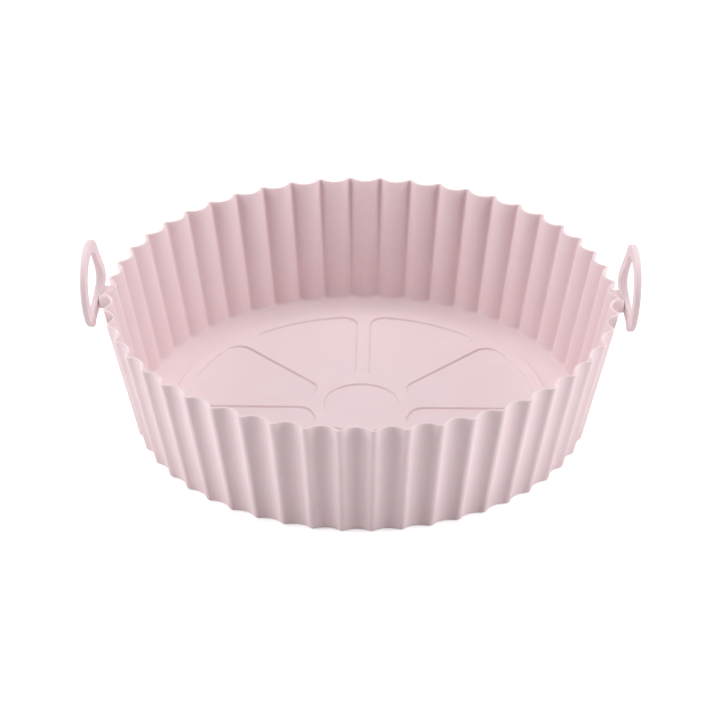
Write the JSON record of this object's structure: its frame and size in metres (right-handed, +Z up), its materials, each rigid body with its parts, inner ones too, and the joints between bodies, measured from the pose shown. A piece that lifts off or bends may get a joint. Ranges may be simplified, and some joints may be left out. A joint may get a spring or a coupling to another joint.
{
  "type": "air fryer liner",
  "caption": "Round reusable silicone tray with a pleated, flared wall, low ribs on the floor and a ring handle at each side, for lining a fryer basket.",
  "frame": {"origin": "centre of the flat base, on the surface that the tray stands on", "axes": "+X towards one ring handle, -X towards the other, -Y towards the viewer in the picture, +Z up out of the tray"},
  "size_m": [0.2126, 0.1992, 0.077],
  "materials": {
    "silicone": "soft matte food-grade silicone, pale pink"
  },
  "bodies": {
    "root": {"liner": "silicone"}
  },
  "joints": []
}
